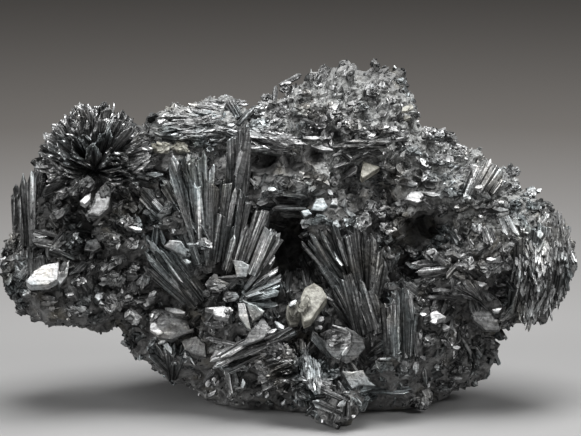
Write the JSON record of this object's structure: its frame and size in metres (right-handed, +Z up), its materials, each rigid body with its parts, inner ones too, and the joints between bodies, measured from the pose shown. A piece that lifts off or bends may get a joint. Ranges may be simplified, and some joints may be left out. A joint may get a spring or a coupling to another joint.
{
  "type": "semseyite specimen",
  "caption": "Dark sulphide matrix overgrown with fans, rosettes and plates of metallic grey tabular crystals; rests on its broken foot.",
  "frame": {"origin": "a point on the flat broken face of the foot that the specimen stands on", "axes": "+X to the right of the show face, +Y from the show face into the specimen, +Z up"},
  "size_m": [0.0565, 0.026, 0.0343],
  "materials": {
    "matrix": "dark grey granular sulphide rock with a druse of small crystals",
    "left_rosette": "metallic grey crystals",
    "left_edge_fan": "metallic grey crystals",
    "great_rosette": "metallic grey crystals",
    "central_fan": "metallic grey crystals",
    "right_fan": "metallic grey crystals",
    "right_end_sheaf": "metallic grey crystals",
    "right_rosette": "metallic grey crystals",
    "centre_shelf": "metallic grey crystals",
    "top_ledge": "metallic grey crystals",
    "blade_bundle": "metallic grey crystals",
    "round_plate": "metallic grey crystals",
    "left_plates": "metallic grey crystals",
    "lower_left_plates": "metallic grey crystals",
    "lower_rosette": "metallic grey crystals",
    "lower_right_group": "metallic grey crystals",
    "siderite_crystal": "cream, slightly waxy crystal"
  },
  "bodies": {
    "root": {"matrix": "matrix", "left_rosette": "left_rosette", "left_edge_fan": "left_edge_fan", "great_rosette": "great_rosette", "central_fan": "central_fan", "right_fan": "right_fan", "right_end_sheaf": "right_end_sheaf", "right_rosette": "right_rosette", "centre_shelf": "centre_shelf", "top_ledge": "top_ledge", "blade_bundle": "blade_bundle", "round_plate": "round_plate", "left_plates": "left_plates", "lower_left_plates": "lower_left_plates", "lower_rosette": "lower_rosette", "lower_right_group": "lower_right_group", "siderite_crystal": "siderite_crystal"}
  },
  "joints": []
}
